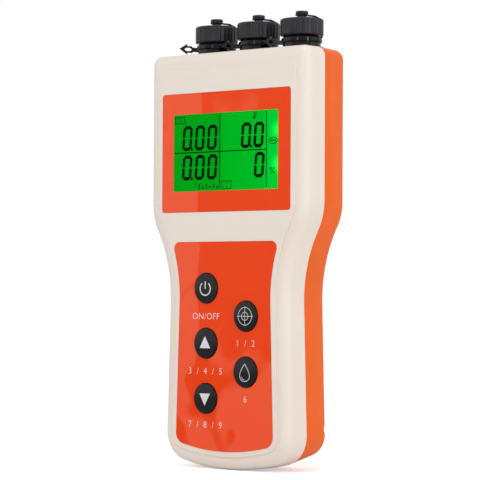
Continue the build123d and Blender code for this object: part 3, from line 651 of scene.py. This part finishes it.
oval = {"x": 55.2, "z": 12.95, "wide": 2.35, "high": 1.3, "stroke": 0.28, "dotPitch": 1.15, "dot": 0.2,
        "dotStroke": 0.4}
slant = {"x": 54.9, "z": 25.4, "wide": 0.9, "high": 1.2, "stroke": 0.35, "ringAway": 0.8, "ring": 0.42,
         "ringStroke": 0.28}


def displayPlate():
    # a plate with round corners: its outline three times, a little smaller at the very front
    c = display["corner"]
    x0, x1, z0, z1 = display["left"], display["right"], display["bottom"], display["top"]
    corners = [(x1 - c, z1 - c, 0), (x0 + c, z1 - c, 90), (x0 + c, z0 + c, 180), (x1 - c, z0 + c, 270)]
    outline = np.array([p for cx, cz, a in corners for p in arc(cx, cz, c, a, a + 90, 4)])
    middle = outline.mean(axis=0)
    inner = middle + (outline - middle) * display["bevelShare"]
    front = display["front"]
    layers = ((inner, front), (outline, front + display["bevel"]), (outline, display["back"]))
    rings = [np.stack([line[:, 0], np.full(len(line), y), line[:, 1]], axis=1) for line, y in layers]
    sides, first, last = loopFaces(3, len(outline))
    return np.concatenate(rings), [first, sides[:, ::-1], last[:, ::-1]]


def onPlate(x, z):
    return np.full(np.shape(x), display["front"])


def inked(x0, z0, x1, z1, width, steps=2):
    return strip(straight(x0, z0, x1, z1, steps), width, onPlate)


def inkedRing(x, z, radius, width, steps):
    return strip(ringLine(x, z, radius, steps=steps), width, onPlate)


def zeroFigure(left, top):
    # a 0 of six segments: each is a strip with pointed ends, leaning to the right
    w, h = zero["wide"] - zero["stroke"], (zero["high"] - zero["stroke"]) / 2
    half = zero["stroke"] / 2
    foot = top - 2 * h - half
    strips = []
    for u0, v0, u1, v1 in zero["segments"]:
        a = np.array([left + half + u0 * w, top - half - v0 * h])
        b = np.array([left + half + u1 * w, top - half - v1 * h])
        way = (b - a) / np.linalg.norm(b - a)
        a, b = a + way * zero["gap"], b - way * zero["gap"]
        point = way * half * zero["point"]
        line = np.array([a, a + point, b - point, b])
        line[:, 0] += (line[:, 1] - foot) * zero["lean"] - zero["shift"]
        strips.append(strip(line, [zero["tip"], zero["stroke"], zero["stroke"], zero["tip"]], onPlate))
    return strips


def outlineBox(x0, z0, x1, z1, width):
    # a rectangular outline, given by its outer corners
    h = width / 2
    return [inked(x0, z0 - h, x1, z0 - h, width), inked(x0, z1 + h, x1, z1 + h, width),
            inked(x0 + h, z0 - width, x0 + h, z1 + width, width),
            inked(x1 - h, z0 - width, x1 - h, z1 + width, width)]


def thermometerMark(x, z):
    t = thermometer
    strips = [inked(x, z - t["low"], x, z + t["high"], t["stroke"], 4),
              inkedRing(x, z - t["bulbDrop"], t["bulb"], t["bulbStroke"], 25)]
    for i in range(t["rungs"]):
        rung = z + t["rungTop"] - i * t["rungPitch"]
        strips.append(inked(x + t["rungLeft"], rung, x + t["rungRight"], rung, t["rungStroke"]))
    return strips


def ovalMark(x, z):
    # battery state: an oval outline with three dots
    line = ringLine(0, 0, 1.0, steps=49) * np.array([oval["wide"], oval["high"]]) + np.array([x, z])
    dots = [inkedRing(x + i * oval["dotPitch"], z, oval["dot"], oval["dotStroke"], 17) for i in (-1, 0, 1)]
    return [strip(line, oval["stroke"], onPlate)] + dots


def slantMark(x, z):
    # a small slanting line between two rings
    s, away = slant, slant["ringAway"]
    return [inked(x - s["wide"], z - s["high"], x + s["wide"], z + s["high"], s["stroke"]),
            inkedRing(x - away, z + away, s["ring"], s["ringStroke"], 21),
            inkedRing(x + away, z - away, s["ring"], s["ringStroke"], 21)]


def displayMarks():
    left, top = display["left"], display["top"]
    strips = []
    for x, z in marks["zeros"]:
        strips += zeroFigure(left + x, top - z)
    for x, z in marks["points"]:
        half = marks["pointHalf"]
        strips.append(inked(left + x - half, top - z, left + x + half, top - z, marks["pointHigh"]))
    for x0, z0, x1, z1 in marks["rules"]:
        strips.append(inked(left + x0, top - z0, left + x1, top - z1, marks["rule"]))
    for x0, z0, x1, z1 in marks["frames"]:
        strips += outlineBox(left + x0, top - z0, left + x1, top - z1, marks["frame"])
    for words, height, x, z in marks["numbers"]:
        strips.append(lettering(words, height, left + x, top - z, display["front"]))
    for i in range(ticks["count"]):
        x, z = left + ticks["x"] + i * ticks["pitch"], top - ticks["z"]
        strips.append(inked(x, z, x, z + ticks["short" if i % 2 else "tall"], ticks["stroke"]))
    for draw, spot in ((thermometerMark, thermometer), (ovalMark, oval), (slantMark, slant)):
        strips += draw(left + spot["x"], top - spot["z"])
    return joined(strips)


green = materials["display_green"]
plate = newPiece("display_picture", *displayPlate(), "meter", "display_green", green, False)
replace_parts(plate, "display_window")
newPiece("display_marks", *displayMarks(), "meter", "inner_black", materials["display_ink"], False)

# Symbols on the keys and words under them

print("keys")

keys = {"radius": 5.875, "front": -16.4, "crown": 0.25,
        "power": (-10.0, 76.8), "up": (-10.0, 53.38), "down": (-10.0, 29.96),
        "target": (12.0, 65.09), "drop": (12.0, 41.67)}
powerSign = {"radius": 2.85, "down": 0.2, "start": 128, "end": 412, "stemLow": 0.3, "stemHigh": 2.85,
             "stroke": 0.52}
arrow = {"foot": 2.1, "tip": 2.95, "wide": 5.9, "narrow": 0.12}
target = {"rings": (3.7, 1.75), "ringStroke": 0.22, "armWide": 4.3, "armHigh": 4.15, "armStroke": 0.2,
          "armLifts": (0.021, 0.022)}
drop = {"wide": 3.6, "tall": 3.7, "power": 1.25, "down": 0.15, "stroke": 0.27, "glintDown": 1.4,
        "glint": 1.75, "glintStart": 195, "glintEnd": 262, "glintStroke": 0.22}


def crownOf(key):
    # the key's crowned face: the depth grows with the square of the distance from its centre
    cx, cz = keys[key]

    def depth(x, z):
        away = (x - cx) ** 2 + (z - cz) ** 2
        return keys["front"] + keys["crown"] * away / keys["radius"] ** 2
    return depth


def powerMark(x, z, depth):
    p = powerSign
    ring = ringLine(x, z - p["down"], p["radius"], p["start"], p["end"], 60)
    return [strip(ring, p["stroke"], depth),
            strip(straight(x, z - p["stemLow"], x, z + p["stemHigh"], 8), p["stroke"], depth)]


def arrowMark(x, z, depth, way):
    tall = straight(x, z - way * arrow["foot"], x, z + way * arrow["tip"], 16)
    return [strip(tall, np.linspace(arrow["wide"], arrow["narrow"], 16), depth, across=9)]


def targetMark(x, z, depth):
    # two rings and a cross, whose arms lie a hair higher than what they cross
    t = target
    wide, high = t["armWide"], t["armHigh"]
    strips = [strip(ringLine(x, z, radius, steps=72), t["ringStroke"], depth) for radius in t["rings"]]
    arms = (straight(x - wide, z, x + wide, z, 24), straight(x, z - high, x, z + high, 24))
    return strips + [strip(arm, t["armStroke"], depth, lift) for arm, lift in zip(arms, t["armLifts"])]


def dropMark(x, z, depth):
    # outline: x = wide sin(t) sin(t / 2) ** power, z = tall cos(t); with a short glint inside
    t = np.linspace(0, 2 * math.pi, 73)
    wide = drop["wide"] * np.sin(t) * np.sin(t / 2) ** drop["power"]
    line = np.stack([x + wide, z + drop["tall"] * np.cos(t) - drop["down"]], axis=1)
    glint = ringLine(x, z - drop["glintDown"], drop["glint"], drop["glintStart"], drop["glintEnd"], 16)
    return [strip(line, drop["stroke"], depth), strip(glint, drop["glintStroke"], depth)]


symbols = {"power": powerMark, "target": targetMark, "drop": dropMark,
           "up": lambda x, z, d: arrowMark(x, z, d, 1), "down": lambda x, z, d: arrowMark(x, z, d, -1)}
for key, draw in symbols.items():
    newPiece("symbol_" + key, *joined(draw(*keys[key], crownOf(key))), "key_" + key, "key_black",
             materials["ink_key"], False)

labels = {"film": -15.65, "height": 2.7,
          "words": [("ON/OFF", -10.1, 64.9), ("1  /  2", 12.1, 53.75), ("3  /  4  /  5", -10.3, 41.6),
                    ("6", 11.8, 30.3), ("7  /  8  /  9", -10.3, 18.8)]}
rows = [lettering(text, labels["height"], x, z, labels["film"]) for text, x, z in labels["words"]]
newPiece("key_words", *joined(rows), "meter", "film_orange", materials["ink_white"], False)

# Probe sockets: threaded necks, fluted caps, swivel knobs and soft tethers

print("sockets")

socket = {"pitch": 23.8, "depth": 6.4, "stem": 5.8, "stemBore": 4.6, "stemFoot": 164.0, "flangeLow": 178.3,
          "flangeTop": 179.0, "flange": 9.6, "flangeEdge": 0.15, "flangeRound": 0.25, "neck": 8.1,
          "rootWide": 0.05, "rootHigh": 0.1, "neckTop": 188.6, "rim": 0.3, "neckBore": 6.3, "boreEdge": 0.1,
          "seat": 5.9, "floor": 180.0, "insertTop": 182.0, "threadLow": 182.9, "threadTop": 188.0,
          "threadPitch": 1.35, "threadDepth": 0.42, "threadPower": 0.6}
cap = {"radius": 9.25, "bore": 8.18, "boreEdge": 0.2, "low": 183.9, "ceiling": 189.9, "top": 191.15,
       "topRound": 0.9, "lowRound": 0.5, "wallLow": 0.9, "wallHigh": 1.3, "hole": 1.26, "holeEdge": 0.12,
       "flutes": 24, "fluteDepth": 0.3, "fluteShare": 0.42, "flutePower": 0.8, "fadeLow": 0.4,
       "fadeHigh": 0.35}
knob = {"neck": 1.95, "low": 191.21, "head": 193.35, "headEdge": 0.1, "radius": 2.7, "top": 194.52,
        "bevel": 0.25, "dishRim": 0.9, "dish": 0.7, "dishDeep": 0.12, "stem": 1.2, "foot": 2.4,
        "footLow": 189.3, "footTop": 189.84}
tether = {"inner": 8.14, "outer": 8.7, "low": 181.0, "high": 182.8, "bandRound": 0.25, "eyeInner": 2.0,
          "eyeOuter": 2.85, "eyeLow": 192.5, "eyeHigh": 193.3, "eyeRound": 0.3, "angle": 72.0, "wide": 2.2,
          "thick": 0.6, "round": 0.3, "bend": 1.8,
          "corners": [(2.6, 192.9), (6.0, 192.85), (9.95, 191.5), (9.95, 184.2), (8.4, 181.9)]}
tab = {"angle": 205.0, "low": 181.3, "rise": 0.1, "start": 8.3, "tip": 16.9, "barb": 13.5, "eyeStart": 11.4,
       "eyeEnd": 14.6, "lead": 0.5, "neckHalf": 0.95, "eyeHalf": 1.5, "barbHalf": 2.3, "tipHalf": 0.04,
       "hole": 0.75, "holePower": 0.4, "half": 0.5, "bevel": 0.1, "steps": 44}


def neckProfile():
    # a closed profile: stem, flange, neck with rounded thread ridges, and the stepped bore
    s = socket
    z = np.linspace(s["threadLow"], s["threadTop"], 60)
    ridge = 0.5 + 0.5 * np.cos(2 * math.pi * (z - s["threadLow"]) / s["threadPitch"])
    thread = list(zip(s["neck"] - s["threadDepth"] * (1 - ridge ** s["threadPower"]), z))
    edge, bend = s["flangeEdge"], s["flangeRound"]
    outer = [(s["stemBore"], s["stemFoot"]), (s["stem"], s["stemFoot"]), (s["stem"], s["flangeLow"])]
    outer += [(s["flange"] - edge, s["flangeLow"]), (s["flange"], s["flangeLow"] + edge)]
    outer += arc(s["flange"] - bend, s["flangeTop"] - bend, bend, 0, 90, 4)
    outer += [(s["neck"] + s["rootWide"], s["flangeTop"]), (s["neck"], s["flangeTop"] + s["rootHigh"])]
    outer += thread + [(s["neck"] - s["rim"], s["neckTop"]), (s["neckBore"] + s["boreEdge"], s["neckTop"])]
    inner = [(s["neckBore"], s["neckTop"] - s["boreEdge"]), (s["neckBore"], s["insertTop"])]
    inner += [(s["seat"], s["insertTop"]), (s["seat"], s["floor"]), (s["stemBore"], s["floor"])]
    return outer + inner


def capSurface(x, y, steps=288):
    # an upright cap: round the axis the outer wall sinks into rounded flutes, fading at both rims
    c = cap
    wall = arc(c["radius"] - c["lowRound"], c["low"] + c["lowRound"], c["lowRound"], -90, 0, 5)
    wall += [(c["radius"], z) for z in np.linspace(c["low"] + c["wallLow"], c["top"] - c["wallHigh"], 8)]
    wall += arc(c["radius"] - c["topRound"], c["top"] - c["topRound"], c["topRound"], 0, 90, 7)
    inside = [(c["hole"] + c["holeEdge"], c["top"]), (c["hole"], c["top"] - c["holeEdge"])]
    inside += [(c["hole"], c["ceiling"]), (c["bore"], c["ceiling"]), (c["bore"], c["low"] + c["boreEdge"])]
    profile = np.array(wall + inside + [(c["bore"] + c["boreEdge"], c["low"])])
    phase = np.arange(steps) / steps * c["flutes"] % 1.0 - 0.5
    groove = np.clip(1 - np.abs(phase) / (c["fluteShare"] / 2), 0, 1)
    groove = c["fluteDepth"] * np.sin(groove * math.pi / 2) ** c["flutePower"]
    sinks = np.array([c["fadeLow"]] + [1.0] * (len(wall) - 3) + [c["fadeHigh"]] + [0.0] * (len(inside) + 2))
    radius = profile[:, 0][None, :] - groove[:, None] * sinks[None, :]
    return around(radius, profile[:, 1], x, y), [gridFaces(steps, len(profile), True, True)]


def knobProfile():
    # from the foot under the cap up the stem and over the dished head
    k = knob
    outer = [(k["foot"], k["footLow"]), (k["foot"], k["footTop"]), (k["stem"], k["footTop"])]
    outer += [(k["stem"], k["low"]), (k["neck"], k["low"]), (k["neck"], k["head"])]
    outer += [(k["radius"] - k["headEdge"], k["head"]), (k["radius"], k["head"] + k["headEdge"])]
    outer += [(k["radius"], k["top"] - k["bevel"])]
    outer += [(k["radius"] - k["bevel"], k["top"]), (k["radius"] - k["dishRim"], k["top"])]
    bottom = k["top"] - k["dishDeep"]
    return [(0.0, k["footLow"])] + outer + [(k["dish"], bottom), (0.0, bottom)]


def roundedRoute(corners, bend, steps=8):
    # the strap's centreline: straight runs joined by smooth bends
    corners = [np.array(c, float) for c in corners]
    line = [corners[0]]
    for a, b, c in zip(corners, corners[1:], corners[2:]):
        into = (b - a) / np.linalg.norm(b - a)
        out = (c - b) / np.linalg.norm(c - b)
        turn = math.acos(np.clip(into @ out, -1, 1))
        reach = min(bend * math.tan(turn / 2), np.linalg.norm(c - b) * 0.45)
        start, end = b - into * reach, b + out * reach
        t = np.linspace(0, 1, steps)[:, None]
        line += list((1 - t) ** 2 * start + 2 * t * (1 - t) * b + t ** 2 * end)
    line.append(corners[-1])
    return np.array(line)


def uprightPlane(angle):
    # directions outwards and across, for a plane that stands on the axis at an angle from +X
    turn = math.radians(angle)
    return np.array([math.cos(turn), math.sin(turn), 0.0]), np.array([-math.sin(turn), math.cos(turn), 0.0])


up = np.array([0.0, 0.0, 1.0])


def strapSurface(x, y):
    # the route carried in an upright plane, with a rounded rectangle as its section
    t = tether
    line = roundedRoute(t["corners"], t["bend"])
    r = t["round"]
    w, h = t["wide"] / 2 - r, t["thick"] / 2 - r
    section = np.array([p for cx, cy, a in ((w, h, 0), (-w, h, 90), (-w, -h, 180), (w, -h, 270))
                        for p in arc(cx, cy, r, a, a + 90, 3)])
    out, across = uprightPlane(t["angle"])
    flat = line[:, None, :] + leftOf(line)[:, None, :] * section[None, :, 1:2]
    points = flat[..., 0:1] * out + flat[..., 1:2] * up + section[None, :, 0:1] * across
    points = points + np.array([x, y, 0.0])
    sides, first, last = loopFaces(*points.shape[:2])
    return points.reshape(-1, 3), [sides, first[:, ::-1], last]


def ringProfile(inner, outer, low, high, r):
    return (arc(outer - r, low + r, r, -90, 0, 4) + arc(outer - r, high - r, r, 0, 90, 4)
            + arc(inner + r, high - r, r, 90, 180, 4) + arc(inner + r, low + r, r, 180, 270, 4))


def tabSurface(x, y):
    # the arrow tab in two halves, each a loop of points between the arrow's outline and the eye's
    t = tab
    upper = np.array([(t["start"], t["neckHalf"]), (t["eyeStart"] - t["lead"], t["neckHalf"]),
                      (t["eyeStart"], t["eyeHalf"]), (t["barb"], t["eyeHalf"]), (t["barb"], t["barbHalf"]),
                      (t["tip"], t["tipHalf"])])
    share = np.cumsum([0] + [math.dist(a, b) for a, b in zip(upper, upper[1:])])
    share = share / share[-1]
    u = np.sort(np.concatenate([np.linspace(0, 1, t["steps"]), share[1:-1]]))
    along, height = np.interp(u, share, upper[:, 0]), np.interp(u, share, upper[:, 1])
    centre, half = (t["eyeStart"] + t["eyeEnd"]) / 2, (t["eyeEnd"] - t["eyeStart"]) / 2
    hole = t["hole"] * np.clip(1 - ((along - centre) / half) ** 2, 0, 1) ** t["holePower"]
    out, across = uprightPlane(t["angle"])
    face, edge = t["half"], t["half"] - t["bevel"]
    halves = []
    for sign in (1, -1):
        loops = []
        for shift, away in ((edge, height), (face, height - t["bevel"]), (face, hole), (-face, hole),
                            (-face, height - t["bevel"]), (-edge, height)):
            z = t["low"] + t["rise"] * (along - t["start"]) + sign * away
            loops.append(along[:, None] * out + z[:, None] * up + shift * across)
        loop = np.stack(loops, axis=1) + np.array([x, y, 0.0])
        sides, first, last = loopFaces(*loop.shape[:2])
        faces = [sides, first[:, ::-1], last]
        halves.append((loop.reshape(-1, 3), [block[:, ::sign] for block in faces]))
    return joined(halves)


def tetherSurface(x, y):
    t = tether
    band = ringProfile(t["inner"], t["outer"], t["low"], t["high"], t["bandRound"])
    eye = ringProfile(t["eyeInner"], t["eyeOuter"], t["eyeLow"], t["eyeHigh"], t["eyeRound"])
    return joined([turned(band, x, y), turned(eye, x, y, 48), strapSurface(x, y), tabSurface(x, y)])


def makeSocket(name, x):
    y = socket["depth"]
    glossy, dull = materials["neck_black"], materials["socket_black"]
    neck = newPiece("neck_" + name, *turned(neckProfile(), x, y), "meter", "socket_black", glossy)
    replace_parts(sharpen(neck, 50), "receptacle_" + name)
    lid = newPiece("fluted_cap_" + name, *capSurface(x, y), "cap_" + name, "socket_black", dull)
    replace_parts(sharpen(lid, 40), "cap_" + name)
    head = newPiece("knob_" + name + "_head", *solidTurned(knobProfile(), x, y, 64), "knob_" + name,
                    "socket_black", dull)
    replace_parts(sharpen(head, 35), "cap_knob_" + name)
    strap = newPiece("strap_" + name, *tetherSurface(x, y), None, "socket_black", glossy)
    sharpen(strap, 45)
    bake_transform(strap)
    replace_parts(strap, "tether_" + name)


for i, name in enumerate(socketNames):
    makeSocket(name, (i - 1) * socket["pitch"])

# Floor, world and lamps

print("studio")

# a lamp: name, azimuth, rise, distance in metres, size in metres, power and colour
studio = {"world": 0.62, "floor": (0.93, 0.93, 0.93), "floorShade": (0.92, 0.92, 0.92), "floorCloud": 2.0,
          "floorLift": 0.45, "size": 40.0, "aim": (0, 0, 0.1),
          "lamps": [("stripRight", 14.4, 8.0, 1.3, (0.06, 0.8), 1.6, (1, 0.99, 0.98)),
                    ("stripSide", 72.6, 8.0, 1.3, (0.06, 0.8), 4.4, (1, 0.99, 0.98)),
                    ("broadLeft", -42.0, 12.0, 1.6, (0.9, 1.2), 2.5, (1, 1, 1)),
                    ("broadRight", 110.0, 15.0, 1.6, (0.9, 1.2), 3.0, (1, 1, 1)),
                    ("above", 20.0, 68.0, 1.8, (1.2, 1.2), 9.0, (1, 1, 1))]}


def makeFloor():
    # a pale matt floor, a little brighter to the camera
    material, tree, shader = newMaterial("paleFloor")
    tone = cloudy(tree, studio["floor"], studio["floorShade"], studio["floorCloud"])
    tree.links.new(tone, shader.inputs["Base Color"])
    shader.inputs["Roughness"].default_value = 0.9
    shader.inputs["Specular IOR Level"].default_value = 0.0
    path = tree.nodes.new("ShaderNodeLightPath")
    lift = calculate(tree, "MULTIPLY", path.outputs["Is Camera Ray"], studio["floorLift"])
    shader.inputs["Emission Color"].default_value = (1, 1, 1, 1)
    tree.links.new(lift, shader.inputs["Emission Strength"])
    half = studio["size"] / 2 / mm
    points = np.array([(-half, -half, 0), (half, -half, 0), (half, half, 0), (-half, half, 0)], float)
    floor = newPiece("floor", points, [np.array([[0, 1, 2, 3]])], None, "case_ivory", material, False)


def makeWorld():
    # a plain grey room for the light, plain white for what the camera and gloss see
    world = bpy.data.worlds.new("studio")
    bpy.context.scene.world = world
    world.use_nodes = True
    tree = world.node_tree
    grey, white = tree.nodes["Background"], tree.nodes.new("ShaderNodeBackground")
    for background, strength in ((grey, studio["world"]), (white, 1.0)):
        background.inputs["Color"].default_value = (1, 1, 1, 1)
        background.inputs["Strength"].default_value = strength
    path = tree.nodes.new("ShaderNodeLightPath")
    seen = path.outputs["Is Camera Ray"]
    for label in ("Is Glossy Ray", "Is Transmission Ray"):
        seen = calculate(tree, "MAXIMUM", seen, path.outputs[label])
    mix = tree.nodes.new("ShaderNodeMixShader")
    tree.links.new(seen, mix.inputs["Fac"])
    tree.links.new(grey.outputs["Background"], mix.inputs[1])
    tree.links.new(white.outputs["Background"], mix.inputs[2])
    tree.links.new(mix.outputs["Shader"], tree.nodes["World Output"].inputs["Surface"])


makeFloor()
makeWorld()

# soft rectangles round the object, aimed at its middle
middle = Vector(studio["aim"])
for name, azimuth, rise, away, size, power, colour in studio["lamps"]:
    data = bpy.data.lights.new(name, "AREA")
    data.shape = "RECTANGLE"
    data.size, data.size_y = size
    data.energy = power
    data.color = colour
    lamp = addObject(name, data)
    a, e = math.radians(azimuth), math.radians(rise)
    way = Vector((math.sin(a) * math.cos(e), -math.cos(a) * math.cos(e), math.sin(e)))
    turn = way.to_track_quat("Z", "Y")
    lamp.matrix_world = Matrix.Translation(middle + way * away) @ turn.to_matrix().to_4x4()
bpy.context.scene.view_settings.view_transform = "Standard"
